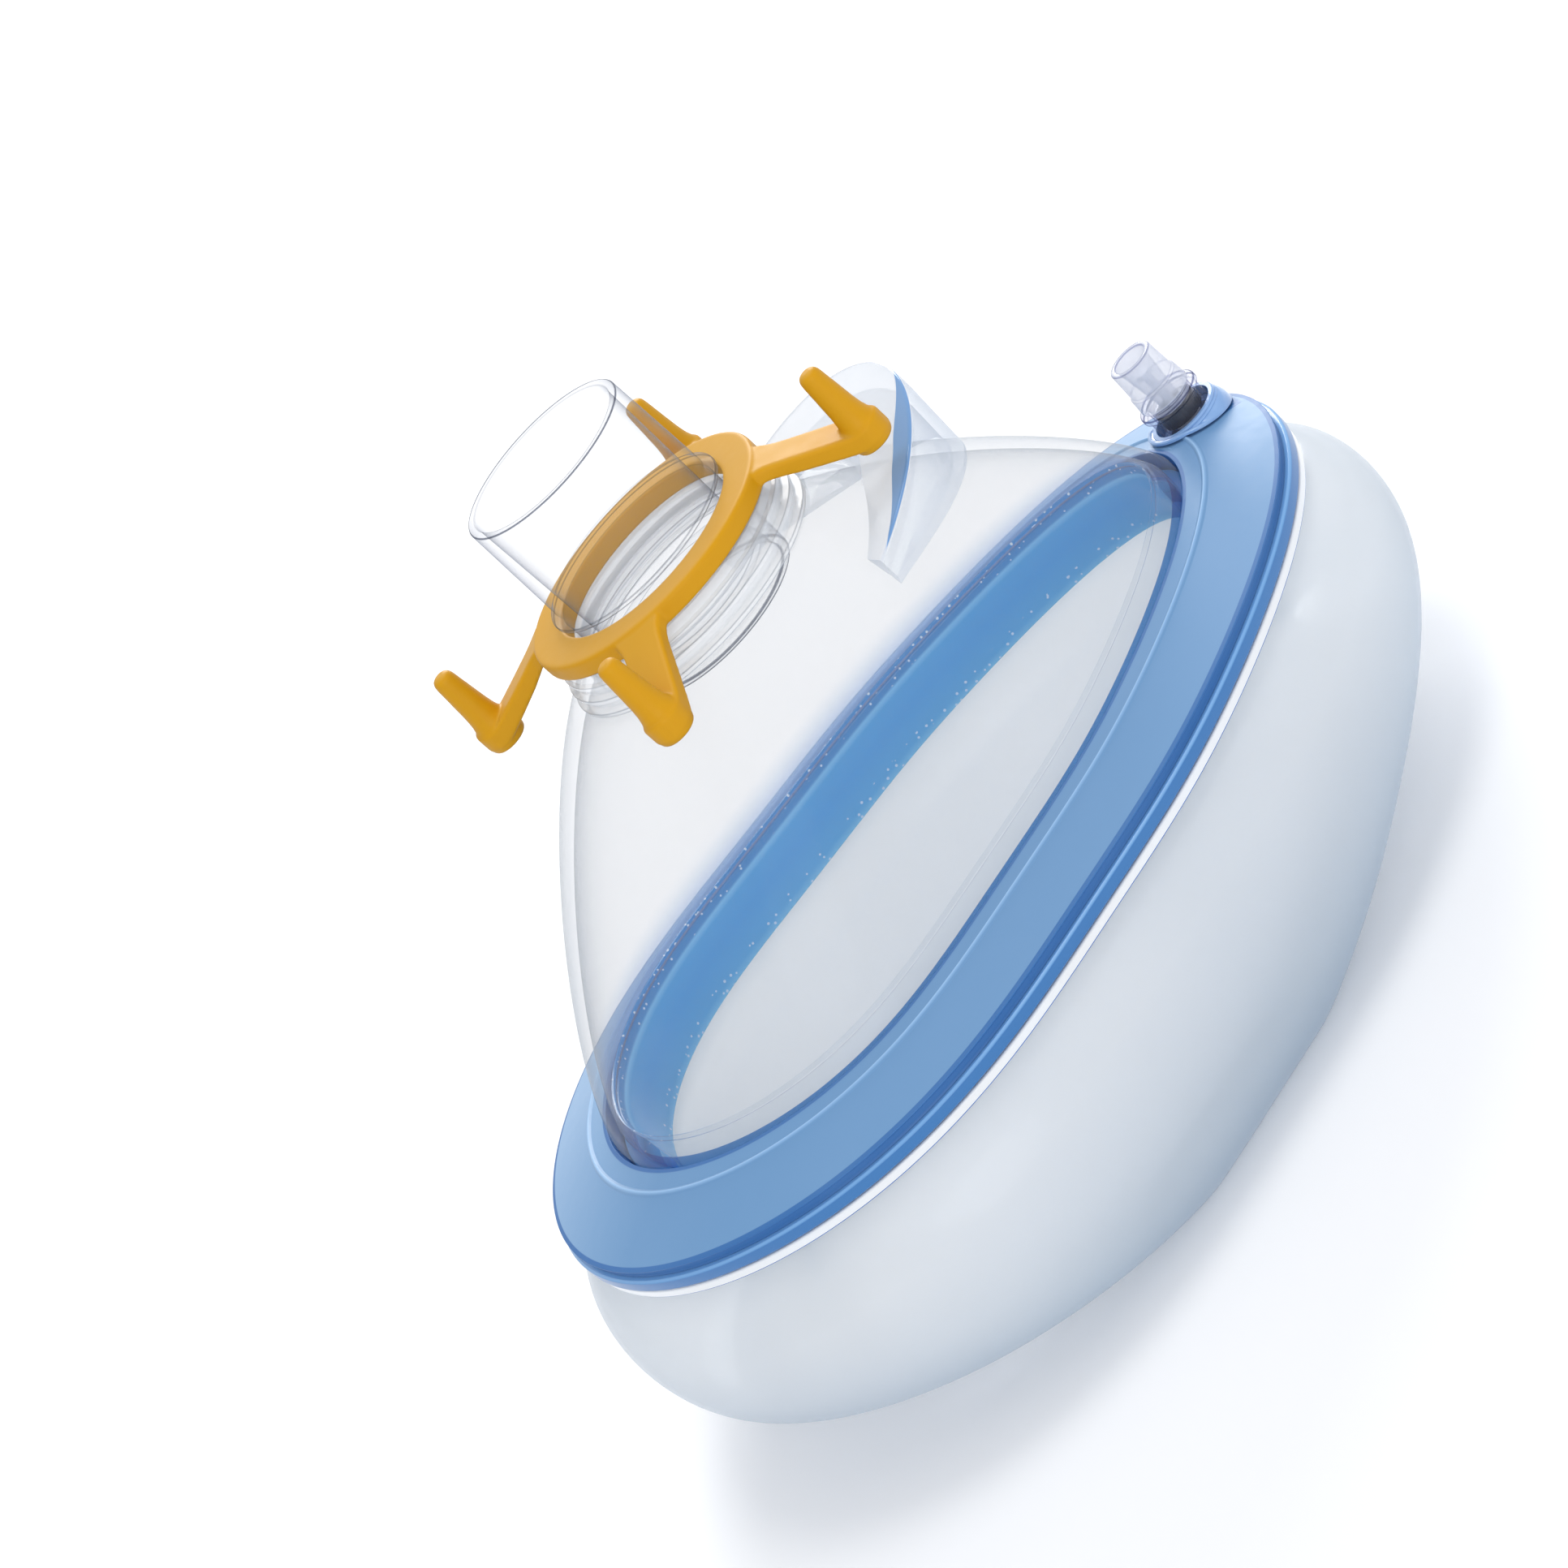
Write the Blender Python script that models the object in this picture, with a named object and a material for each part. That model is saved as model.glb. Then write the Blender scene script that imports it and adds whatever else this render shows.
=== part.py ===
# Air-cushion face mask of a bag-valve-mask set: clear dome with a 22 mm female port,
# swivelling hook ring, thumb rest, blue rim, inflatable cushion and its inflation valve.
# Millimetres below, metres in the model.  +Z up along the port, +X toward the nose end.
# The mask stands on its cushion, the cushion's flat contact land is z = 0.
import math
import bpy
import bmesh
import numpy as np
from mathutils import Vector

MM = 0.001

# ---------------- driving dimensions (mm) ----------------
X0 = -2.655                     # shift that centres the cushion on x = 0
RIM = (55.43, 0.11, 11.43, 2.50, 0.86, 0.82, 0.43)   # cosine series of the rim outline radius
BOW = 1.17                      # the rim rises by this much 60 mm away from the middle
PORT_X = 2.55                   # port axis
PORT_TOP = 106.1
PORT_R = 12.3                   # outside radius at the mouth, 22 mm female cone inside
PORT_RI = 11.2
RING_Z0, RING_Z1 = 86.8, 89.4
RING_RI, RING_RO = 13.46, 18.3
HOOK_ANGLE = -38.4              # degrees, first hook from +X
HOOK_N = 4
HOOK_R = 30.6                   # radius of the hook pegs
HOOK_W = 5.6
PEG_TOP = 93.3
HEEL_TOP = 84.3
HEEL_BOT = 81.5
DOME_OFF = -12.95               # dome foot, from the rim outline
DOME_T = 1.5
DOME_Z0 = 41.0
DOME_Z1 = 82.0
DOME_RT = 16.77
DOME_EXP = (1.24, 1.22, 1.555)  # chin, nose, side
NECK_R = 17.4
FL_TOP = 37.64                  # rim flange, outer top edge
GAP = 0.3
LIP_Z = 32.8                    # where the cushion film starts
CU_N, CU_S, CU_C = 4.24, 4.98, 5.8   # cushion bulge past the rim at nose, sides, chin
CU_MID = -9.5                   # middle of the cushion, from the rim outline
CU_IN = 10.5                    # cushion half width inward
CU_POW = 0.56
CU_FLAT_X = -4.8 + X0           # middle of the flat contact land
CU_FLAT = 11.0
CU_UP_N, CU_UP_C = 12.98, 11.15 # rise of the underside per 60 mm toward nose and chin
CU_WALL = 0.9
CU_SAG = 0.8                    # the film settles this much onto the surface, which makes the flat land
CU_ANGLES = (-90, -73, -55, -32, -8, 20, 50, 72, 90, 110, 135, 165, 195, 222, 245, 256)
V_X = 62.8                      # inflation valve axis
TH_X, TH_Z, TH_A, TH_B, TH_TILT = 16.2 + X0, 73.4, 25.7, 24.2, 15.5
TH_BL, TH_END = 15.0, 14.6
SEG = 56

for o in list(bpy.data.objects):
    bpy.data.objects.remove(o, do_unlink=True)
SCENE = bpy.context.scene.collection


def material(name, rgb, rough=0.35, alpha=1.0):
    m = bpy.data.materials.new(name)
    m.use_nodes = True
    p = m.node_tree.nodes["Principled BSDF"]
    p.inputs["Base Color"].default_value = (*rgb, 1.0)
    p.inputs["Roughness"].default_value = rough
    p.inputs["Alpha"].default_value = alpha
    m.diffuse_color = (*rgb, alpha)
    return m


def to_object(name, verts, faces, mat, smooth=True):
    me = bpy.data.meshes.new(name)
    me.from_pydata([tuple(float(c) * MM for c in v) for v in verts], [], faces)
    bm = bmesh.new()
    bm.from_mesh(me)
    bmesh.ops.recalc_face_normals(bm, faces=bm.faces)
    bm.to_mesh(me)
    bm.free()
    ob = bpy.data.objects.new(name, me)
    SCENE.objects.link(ob)
    if mat is not None:
        me.materials.append(mat)
    for p in me.polygons:
        p.use_smooth = smooth
    if smooth:
        me.set_sharp_from_angle(angle=math.radians(35))
    return ob


def tube_faces(nr, n):
    """Quads between nr closed rings of n points; the last ring joins the first."""
    f = []
    for i in range(nr):
        j = (i + 1) % nr
        for k in range(n):
            l = (k + 1) % n
            f.append((i * n + k, i * n + l, j * n + l, j * n + k))
    return f


def lathe(name, prof, cx, cy, mat, n=64):
    """Closed profile of (r, z) turned about the vertical line at cx, cy."""
    a = np.arange(n) * 2 * math.pi / n
    v = []
    for r, z in prof:
        v += [(cx + r * math.cos(t), cy + r * math.sin(t), z) for t in a]
    return to_object(name, v, tube_faces(len(prof), n), mat)


def solid_lathe(name, prof, cx, cy, mat, n=32):
    """Profile of (r, z) from bottom to top, capped at both ends."""
    a = np.arange(n) * 2 * math.pi / n
    v = []
    for r, z in prof:
        v += [(cx + r * math.cos(t), cy + r * math.sin(t), z) for t in a]
    m = len(prof)
    f = [(i * n + k, i * n + (k + 1) % n, (i + 1) * n + (k + 1) % n, (i + 1) * n + k) for i in range(m - 1) for k in range(n)]
    f.append(tuple(reversed(range(n))))
    f.append(tuple((m - 1) * n + k for k in range(n)))
    return to_object(name, v, f, mat)


def boolean(ob, cutter, op="DIFFERENCE", keep=False):
    md = ob.modifiers.new("b", "BOOLEAN")
    md.operation = op
    md.solver = "EXACT"
    md.object = cutter
    dg = bpy.context.evaluated_depsgraph_get()
    me = bpy.data.meshes.new_from_object(ob.evaluated_get(dg))
    ob.modifiers.clear()
    old = ob.data
    ob.data = me
    me.name = ob.name
    bpy.data.meshes.remove(old)
    if not keep:
        bpy.data.objects.remove(cutter, do_unlink=True)
    return ob


def tidy(ob, dist=0.00004):
    bm = bmesh.new()
    bm.from_mesh(ob.data)
    bmesh.ops.remove_doubles(bm, verts=bm.verts, dist=dist)
    bmesh.ops.dissolve_degenerate(bm, dist=dist, edges=bm.edges)
    bm.to_mesh(ob.data)
    bm.free()
    for p in ob.data.polygons:
        p.use_smooth = True
    ob.data.set_sharp_from_angle(angle=math.radians(35))
    return ob


# ---------------- rim outline ----------------
def radius(t):
    return sum(c * np.cos(k * t) for k, c in enumerate(RIM))


def outline(n):
    """n points, unit outward normals and local bow along the rim."""
    t = np.linspace(0, 2 * np.pi, 2881)
    r = radius(t)
    x, y = r * np.cos(t), r * np.sin(t)
    dx, dy = np.gradient(x, t), np.gradient(y, t)
    bend = np.abs(dx * np.gradient(dy, t) - dy * np.gradient(dx, t)) / np.hypot(dx, dy) ** 3
    w = np.sqrt(0.5 * (bend[1:] + bend[:-1]) + 0.004)          # closer stations where the rim bends more
    s = np.concatenate([[0], np.cumsum(np.hypot(np.diff(x), np.diff(y)) * w)])
    ts = np.interp(np.arange(n) * s[-1] / n, s, t)
    r = radius(ts)
    dr = sum(-k * c * np.sin(k * ts) for k, c in enumerate(RIM))
    x, y = r * np.cos(ts), r * np.sin(ts)
    tx, ty = dr * np.cos(ts) - y, dr * np.sin(ts) + x
    l = np.hypot(tx, ty)
    return np.stack([x, y], 1), np.stack([ty / l, -tx / l], 1), BOW * (x / 60.0) ** 2


def rim_body(name, section, mat, n=SEG):
    """Section of (offset, z) carried round the rim, following its bow."""
    p, nn, bow = outline(n)
    v = []
    for off, z in section:
        q = p + nn * off
        v += [(q[i, 0] + X0, q[i, 1], z + bow[i]) for i in range(n)]
    return to_object(name, v, tube_faces(len(section), n), mat)


# ---------------- materials ----------------
CLEAR = material("clear_dome", (0.86, 0.88, 0.90), 0.12, 0.35)
CLEARP = material("clear_port", (0.86, 0.88, 0.90), 0.12, 0.35)
CLEART = material("clear_thumb", (0.80, 0.85, 0.92), 0.12, 0.35)
AMBER = material("amber_ring", (0.80, 0.48, 0.08), 0.35)
BLUE_L = material("light_blue", (0.25, 0.45, 0.72), 0.35)
BLUE_M = material("mid_blue", (0.10, 0.30, 0.60), 0.35)
BLUE_I = material("inner_blue", (0.12, 0.36, 0.66), 0.35)
FILM = material("cushion_film", (0.72, 0.77, 0.82), 0.3, 0.45)
LIPM = material("clear_lip", (0.82, 0.86, 0.90), 0.2, 0.45)
LIPI = material("clear_inner_lip", (0.82, 0.86, 0.90), 0.2, 0.45)
BEAD = material("adhesive", (0.25, 0.42, 0.62), 0.3)
GLAND = material("gland_blue", (0.13, 0.33, 0.62), 0.35)
VCUP = material("valve_clear_body", (0.78, 0.80, 0.88), 0.15, 0.4)
VTUBE = material("valve_clear_tube", (0.75, 0.76, 0.88), 0.15, 0.4)
BLACK = material("black_seal", (0.02, 0.02, 0.03), 0.5)
STEM = material("plunger_white", (0.85, 0.86, 0.88), 0.35)
CAGE = material("cage_white", (0.80, 0.82, 0.85), 0.35)
STEEL = material("spring_steel", (0.6, 0.6, 0.62), 0.3)

# ---------------- clear dome with its stepped neck ----------------
P, N, B = outline(SEG)
PXF = PORT_X - X0


def dome_rings(off, z0, z1, rt, r_end, count, grow=0.0):
    """Rings of the dome skin from its foot to radius r_end about the port."""
    b = P + N * (off + grow)
    ang = np.arctan2(b[:, 1], b[:, 0] - PXF)
    cs = np.cos(ang)
    nc, nn, ns = DOME_EXP
    ex = ns + np.where(cs > 0, (nn - ns) * cs ** 2, (nc - ns) * cs ** 2)
    far = np.hypot(b[:, 0] - PXF, b[:, 1])
    xe = np.clip((r_end - rt) / (far - rt), 0, 1)
    te = np.arccos(xe ** (ex / 2))
    rings = []
    for i in range(count):
        t = te * i / (count - 1)
        xf = np.clip(np.cos(t), 0, 1) ** (2 / ex)
        zf = np.sin(t) ** (2 / ex)
        r = rt + (far - rt) * xf
        z = (z0 + B) + (z1 - z0 - B) * zf
        rings.append(np.stack([PORT_X + r * np.cos(ang), r * np.sin(ang), z], 1))
    return rings, ang


def neck(ang, prof):
    return [np.stack([PORT_X + r * np.cos(ang), r * np.sin(ang), np.full_like(ang, z)], 1) for r, z in prof]


outer, ANG = dome_rings(DOME_OFF, DOME_Z0, DOME_Z1, DOME_RT, 18.25, 10)
outer[-1][:, 2] = np.minimum(outer[-1][:, 2], 80.35)
inner, _ = dome_rings(DOME_OFF - DOME_T, DOME_Z0, DOME_Z1 - 1.6, DOME_RT - 1.37, DOME_RT - 1.37, 8)
foot_o = outer[0].copy()
foot_o[:, 2] = 38.25 + B
foot_i = inner[0].copy()
foot_i[:, 2] = 38.25 + B
neck_out = [(19.0, 80.75), (19.0, 81.35), (17.9, 81.7), (18.5, 82.6), (18.5, 83.15), (17.5, 83.5),
            (17.9, 84.4), (17.9, 84.9), (NECK_R, 85.15), (NECK_R, 86.5), (12.9, 86.5), (12.9, 84.95), (15.4, 84.95)]
rings = [foot_o] + outer + neck(ANG, neck_out) + inner[::-1] + [foot_i]
dome = to_object("dome_shell", np.concatenate(rings), tube_faces(len(rings), SEG), CLEAR)

# ---------------- 22 mm female port, bonded up into the neck ----------------
port = [(PORT_R, PORT_TOP), (12.6, 91.5), (13.75, 90.75), (13.75, 90.25),
        (12.6, 89.8), (12.6, 84.65), (15.05, 84.65), (15.05, 83.1), (12.7, 82.6), (12.5, 76.6), (11.2, 76.6),
        (11.0, 80.2), (10.3, 80.6), (10.3, 81.6), (10.75, 84.0), (PORT_RI, PORT_TOP)]
lathe("port_connector", port, PORT_X, 0, CLEARP, n=48)

# ---------------- hook ring: annulus, four dropped arms, four tapered pegs ----------------
ring_prof = [(RING_RI + 0.25, RING_Z1), (RING_RO - 0.45, RING_Z1), (RING_RO, RING_Z1 - 0.45), (RING_RO, RING_Z0 + 0.35),
             (RING_RO - 0.35, RING_Z0), (RING_RI + 0.25, RING_Z0), (RING_RI, RING_Z0 + 0.25), (RING_RI, RING_Z1 - 0.25)]
ring = lathe("hook_ring", ring_prof, 0, 0, AMBER, n=56)


def hook_arm(k):
    """Flat strap from the ring down and out to a rounded heel, as one closed loft."""
    t = math.radians(HOOK_ANGLE + 90.0 * k)
    d = Vector((math.cos(t), math.sin(t), 0))
    s = Vector((-d.y, d.x, 0))
    # stations: distance, half width, top z, bottom z
    st = [(15.6, 3.9, 89.05, 87.15), (18.1, 3.6, 88.95, 87.0), (19.5, 3.0, 88.5, 86.3), (22.0, 2.8, 87.4, 84.95),
          (28.6, 2.8, 84.7, 81.95), (HOOK_R, 2.8, HEEL_TOP, HEEL_BOT)]
    for i in range(1, 4):
        a = i * math.pi / 2 / 4
        st.append((HOOK_R + 2.8 * math.sin(a), 2.8 * math.cos(a), HEEL_TOP + 0.15 * math.sin(a), HEEL_BOT + 0.1 * (1 - math.cos(a))))
    e = 0.35
    v, n = [], 8
    for dist, hw, zt, zb in st:
        w = max(hw, 0.5)
        b = min(e, w * 0.6)
        loop = [(-w, zb + e), (-w + b, zb), (w - b, zb), (w, zb + e), (w, zt - e), (w - b, zt), (-w + b, zt), (-w, zt - e)]
        v += [tuple(d * dist + s * u + Vector((0, 0, z))) for u, z in loop]
    m = len(st)
    f = [(i * n + j, i * n + (j + 1) % n, (i + 1) * n + (j + 1) % n, (i + 1) * n + j) for i in range(m - 1) for j in range(n)]
    f.append(tuple(reversed(range(n))))
    f.append(tuple((m - 1) * n + j for j in range(n)))
    return to_object("arm%d" % k, v, f, None)


for k in range(HOOK_N):
    t = math.radians(HOOK_ANGLE + 90.0 * k)
    boolean(ring, hook_arm(k), "UNION")
    peg = [(2.45, HEEL_TOP - 1.2), (2.42, HEEL_TOP + 0.35), (1.95, HEEL_TOP + 1.8), (1.45, PEG_TOP - 0.9),
           (0.8, PEG_TOP)]
    boolean(ring, solid_lathe("peg%d" % k, peg, HOOK_R * math.cos(t), HOOK_R * math.sin(t), None, n=14), "UNION")
    # rounded stub under the heel, in line with the peg
    stub = [(1.9, HEEL_BOT - 0.75), (2.5, HEEL_BOT - 0.4), (2.6, HEEL_BOT + 1.0)]
    boolean(ring, solid_lathe("stub%d" % k, stub, HOOK_R * math.cos(t), HOOK_R * math.sin(t), None, n=14), "UNION")
tidy(ring)
ring.data.materials.clear()
ring.data.materials.append(AMBER)
ring.location = (PORT_X * MM, 0, 0)

# ---------------- thumb rest: sloping plate on a skirt that meets the dome ----------------
TAN = math.tan(math.radians(TH_TILT))


def oval(name, a, b, b_low, z_low, drop, n=56, round_top=0.0):
    """Oval plug with a sloping top; its side draws in sideways to half width b_low at z_low."""
    ang = np.arange(n) * 2 * math.pi / n
    v = [(TH_X + a * math.cos(t), b_low * math.sin(t), z_low) for t in ang]
    tops = [(0.0, round_top), (round_top, 0.0)] if round_top else [(0.0, 0.0)]
    for inset, down in tops:
        for t in ang:
            x = TH_X + (a - inset) * math.cos(t)
            v.append((x, (b - inset) * math.sin(t), TH_Z + TAN * (x - TH_X) - drop - down))
    m = 1 + len(tops)
    f = [(i * n + k, i * n + (k + 1) % n, (i + 1) * n + (k + 1) % n, (i + 1) * n + k) for i in range(m - 1) for k in range(n)]
    f.append(tuple(reversed(range(n))))
    f.append(tuple((m - 1) * n + k for k in range(n)))
    return to_object(name, v, f, CLEART)


thumb = oval("thumb_rest", TH_A, TH_B, TH_BL, 60.0, 0.0, round_top=0.4)
boolean(thumb, oval("th_in", TH_A - 1.5, TH_B - 1.5, TH_BL - 1.6, 58.5, 2.6))
skin, sang = dome_rings(DOME_OFF, DOME_Z0, DOME_Z1 + GAP, DOME_RT + GAP, 19.3, 14, grow=GAP)
skin += neck(sang, [(19.3, 84.0), (19.3, 120.0)])
low = skin[0].copy()
low[:, 2] = 30.0
skin = [low] + skin
n = SEG
m = len(skin)
f = [(i * n + k, i * n + (k + 1) % n, (i + 1) * n + (k + 1) % n, (i + 1) * n + k) for i in range(m - 1) for k in range(n)]
f.append(tuple(reversed(range(n))))
f.append(tuple((m - 1) * n + k for k in range(n)))
boolean(thumb, to_object("dome_block", np.concatenate(skin), f, None))
# the plate stops in a point at each side, level with its widest part
v = [(x, y, z) for z in (20.0, 110.0) for x, y in ((-80.0, -60.0), (TH_END, -60.0), (TH_END, 60.0), (-80.0, 60.0))]
boolean(thumb, to_object("end_block", v, [(3, 2, 1, 0), (4, 5, 6, 7), (0, 1, 5, 4), (1, 2, 6, 5), (2, 3, 7, 6), (3, 0, 4, 7)], None))
tidy(thumb)

# ---------------- blue rim ----------------
FT = FL_TOP
flange = rim_body("flange_ring", [(0.0, FT - 0.4), (-0.4, FT), (-9.1, FT + 2.75), (-9.4, FT + 3.15),
                                  (-9.8, FT + 2.95), (-12.3, FT + 3.25), (-12.65, FT + 3.0), (-12.65, 36.4), (0.0, 36.4)], BLUE_L)
backing = rim_body("backing_ring", [(0.3, 36.1), (0.54, 35.8), (0.54, 34.3), (-12.65, 34.3), (-12.65, 36.1)], BLUE_M)
rim_body("inner_skirt", [(-14.75, 40.95), (-15.3, 42.1), (-16.1, 42.15), (-16.5, 32.6), (-15.4, 32.6),
                         (-15.2, 34.3), (-12.95, 34.3), (-12.95, 37.95), (-14.75, 37.95)], BLUE_I)
rim_body("bond_bead", [(-15.45, 42.45), (-16.1, 42.5), (-16.05, 42.85), (-15.75, 43.05)], BEAD)
lip = rim_body("cushion_lip", [(0.3, 33.1), (0.3, 34.0), (-5.0, 34.0), (-5.0, 33.1)], LIPM)
rim_body("inner_lip", [(-11.2, 33.1), (-11.2, 34.0), (-14.9, 34.0), (-14.9, 33.1)], LIPI)

# ---------------- inflatable cushion: hollow ring of film with one opening at the valve ----------------
def under(x):
    u = np.maximum(np.abs(x - CU_FLAT_X) - CU_FLAT, 0.0) / 60.0
    k = np.where(x > CU_FLAT_X, CU_UP_N, CU_UP_C)
    return k * (np.sqrt(u * u + 0.05 ** 2) - 0.05) * 1.04


def cushion_rings(shrink):
    ang = np.arctan2(P[:, 1], P[:, 0])
    cs = np.cos(ang)
    e = CU_S + np.where(cs > 0, (CU_N - CU_S) * cs ** 2, (CU_C - CU_S) * cs ** 2)
    zb = under(P[:, 0] + X0) - CU_SAG
    zt = LIP_Z + B
    rings = []
    for deg in CU_ANGLES:
        a = math.radians(deg)
        c, s = math.cos(a), math.sin(a)
        zc, h = (zt + zb) / 2, (zt - zb) / 2 - shrink
        if c >= -1e-9:
            off = CU_MID + (e - CU_MID - shrink) * abs(c) ** CU_POW
        else:
            off = CU_MID - (CU_IN - shrink) * abs(c) ** 0.62
        q = P + N * off[:, None] if isinstance(off, np.ndarray) else P + N * off
        rings.append(np.stack([q[:, 0] + X0, q[:, 1], np.maximum(zc + h * s, shrink)], 1))
    return rings


CN = len(CU_ANGLES)
ro = cushion_rings(0.0)
ri = cushion_rings(CU_WALL)
nv = CN * SEG
fo = tube_faces(CN, SEG)
cushion = to_object("cushion", np.concatenate(ro), fo, FILM)
core = to_object("cushion_core", np.concatenate(ri), fo, None)
boolean(cushion, core)
boolean(cushion, solid_lathe("cushion_hole", [(4.25, 24.0), (4.25, 45.0)], V_X, 0, None, n=24))
tidy(cushion)

# ---------------- inflation valve at the nose end ----------------
def flange_top(x, y):
    """Height of the flange's top face above the point x, y (nose end)."""
    t = np.linspace(0, 2 * np.pi, 1441)
    r = radius(t)
    d = np.hypot(r * np.cos(t) + X0 - x, r * np.sin(t) - y)
    i = int(d.argmin())
    off = -float(d[i])
    bow = BOW * ((r[i] * math.cos(t[i])) / 60.0) ** 2
    return bow + float(np.interp(off, [-12.3, -9.8, -9.15, -4.8, -0.3], [FT + 3.25, FT + 2.95, FT + 2.9, FT + 1.42, FT]))


for ob in (flange, backing, lip):
    boolean(ob, solid_lathe("bore", [(4.25, 25.0), (4.25, 60.0)], V_X, 0, None, n=28))
boolean(flange, solid_lathe("counterbore", [(5.0, 40.3), (5.0, 60.0)], V_X, 0, None, n=28))
for ob in (flange, backing, lip):
    tidy(ob)

gn = 28
ga = np.arange(gn) * 2 * math.pi / gn
rows = []


def row(r, z=None, lift=0.0, pick=max):
    out = []
    for t in ga:
        x, y = V_X + r * math.cos(t), r * math.sin(t)
        top = flange_top(x, y) + lift
        out.append([x, y, top if z is None else (z if pick is None else pick(z, top))])
    rows.append(out)


row(4.25, 42.9, pick=None)
row(4.95, 42.9, pick=None)
row(5.05, 42.4, lift=0.55)
row(5.25, 41.9, lift=0.75)
row(5.7, lift=0.7)
row(5.7, lift=0.3)
row(4.7, lift=0.3)
row(4.7, 40.6, lift=0.3, pick=min)
row(3.95, 40.6, pick=None)
row(3.95, 31.2, pick=None)
row(3.35, 31.2, pick=None)
row(3.35, 41.05, pick=None)
row(4.25, 41.3, pick=None)
to_object("valve_gland", [p for r_ in rows for p in r_], tube_faces(len(rows), gn), GLAND)

cup = [(4.45, 45.9), (4.45, 45.1), (3.95, 44.9), (3.95, 41.6), (3.05, 41.35), (3.05, 25.6), (1.9, 25.6), (1.9, 26.4),
       (2.45, 26.4), (2.45, 42.15), (3.25, 42.3), (3.25, 45.9)]
lathe("valve_cup", cup, V_X, 0, VCUP, n=28)
tube = [(3.15, 53.0), (3.35, 48.9), (3.6, 48.6), (3.8, 46.2), (2.95, 46.2), (2.95, 44.9), (1.5, 44.9), (1.5, 46.2), (2.35, 53.0)]
lathe("valve_inlet", tube, V_X, 0, VTUBE, n=28)
lathe("valve_seal", [(0.95, 42.6), (2.95, 42.6), (2.95, 44.6), (0.95, 44.6)], V_X, 0, BLACK, n=28)
lathe("valve_guide", [(0.95, 29.6), (2.15, 29.6), (2.15, 30.9), (0.95, 30.9)], V_X, 0, CAGE, n=24)
guide = bpy.data.objects["valve_guide"]
for k in range(3):
    t = math.radians(60 + 120 * k)
    boolean(guide, solid_lathe("vent%d" % k, [(0.5, 27.0), (0.5, 33.0)], V_X + 2.1 * math.cos(t), 2.1 * math.sin(t), None, n=10))
tidy(guide)
solid_lathe("valve_plunger", [(0.65, 27.4), (0.65, 41.0), (1.95, 41.05), (1.95, 41.6), (1.4, 42.2), (0.65, 42.2),
                              (0.65, 49.6), (1.1, 49.8), (1.1, 50.6)], V_X, 0, STEM, n=16)

# coil spring between the guide and the plunger's head
SP_Z0, SP_Z1, SP_R, SP_W, SP_T = 31.4, 40.5, 1.65, 0.2, 5
turns, per, wn = SP_T, 12, 5
v = []
steps = turns * per + 1
for i in range(steps):
    a = 2 * math.pi * i / per
    h = SP_Z0 + (SP_Z1 - SP_Z0) * i / (steps - 1)
    c = Vector((math.cos(a), math.sin(a), 0))
    for j in range(wn):
        b = 2 * math.pi * j / wn
        q = c * (SP_R + SP_W * math.cos(b)) + Vector((0, 0, h + SP_W * math.sin(b)))
        v.append((V_X + q.x, q.y, q.z))
f = [(i * wn + j, i * wn + (j + 1) % wn, (i + 1) * wn + (j + 1) % wn, (i + 1) * wn + j) for i in range(steps - 1) for j in range(wn)]
f.append(tuple(reversed(range(wn))))
f.append(tuple((steps - 1) * wn + j for j in range(wn)))
to_object("valve_spring", v, f, STEEL)

for ob in bpy.data.objects:
    if ob.type == "MESH":
        ob.data.calc_loop_triangles()
        print("%-16s %6d triangles" % (ob.name, len(ob.data.loop_triangles)))
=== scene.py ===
import bpy
import bmesh
import math
import numpy as np
from mathutils import Vector, Matrix


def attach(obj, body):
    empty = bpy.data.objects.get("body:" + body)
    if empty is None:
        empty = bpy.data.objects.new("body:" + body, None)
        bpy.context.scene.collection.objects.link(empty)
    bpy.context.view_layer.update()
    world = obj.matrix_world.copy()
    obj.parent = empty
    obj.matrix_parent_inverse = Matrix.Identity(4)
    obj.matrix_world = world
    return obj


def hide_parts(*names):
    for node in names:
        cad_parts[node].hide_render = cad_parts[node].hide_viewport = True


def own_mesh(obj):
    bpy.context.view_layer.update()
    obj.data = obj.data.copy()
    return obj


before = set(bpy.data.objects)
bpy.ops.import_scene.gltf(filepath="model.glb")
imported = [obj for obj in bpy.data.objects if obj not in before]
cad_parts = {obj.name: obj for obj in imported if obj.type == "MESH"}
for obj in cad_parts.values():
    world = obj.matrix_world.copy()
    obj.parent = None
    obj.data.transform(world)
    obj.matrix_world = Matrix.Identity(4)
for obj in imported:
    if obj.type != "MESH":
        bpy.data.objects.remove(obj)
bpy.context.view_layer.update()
MM = 0.001

# ------------------------------------------------------------------ dimensions shared with the CAD, in mm
X0 = -2.655
RIM = (55.43, 0.11, 11.43, 2.50, 0.86, 0.82, 0.43)
BOW = 1.17
PORT_X, PORT_TOP, PORT_R, PORT_RI = 2.55, 106.1, 12.3, 11.2
RING_Z0, RING_Z1, RING_RI, RING_RO = 86.8, 89.4, 13.46, 18.3
HOOK_ANGLE, HOOK_R, PEG_TOP, HEEL_TOP, HEEL_BOT = -38.4, 30.6, 93.3, 84.3, 81.5
DOME_OFF, DOME_T, DOME_Z0, DOME_Z1, DOME_RT = -12.95, 1.5, 41.0, 82.0, 16.77
DOME_EXP = (1.24, 1.22, 1.555)
NECK_R, FT, GAP, LIP_Z = 17.4, 37.64, 0.3, 32.8
CU_N, CU_S, CU_C, CU_MID, CU_IN, CU_POW = 4.24, 4.98, 5.8, -9.5, 10.5, 0.56
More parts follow.
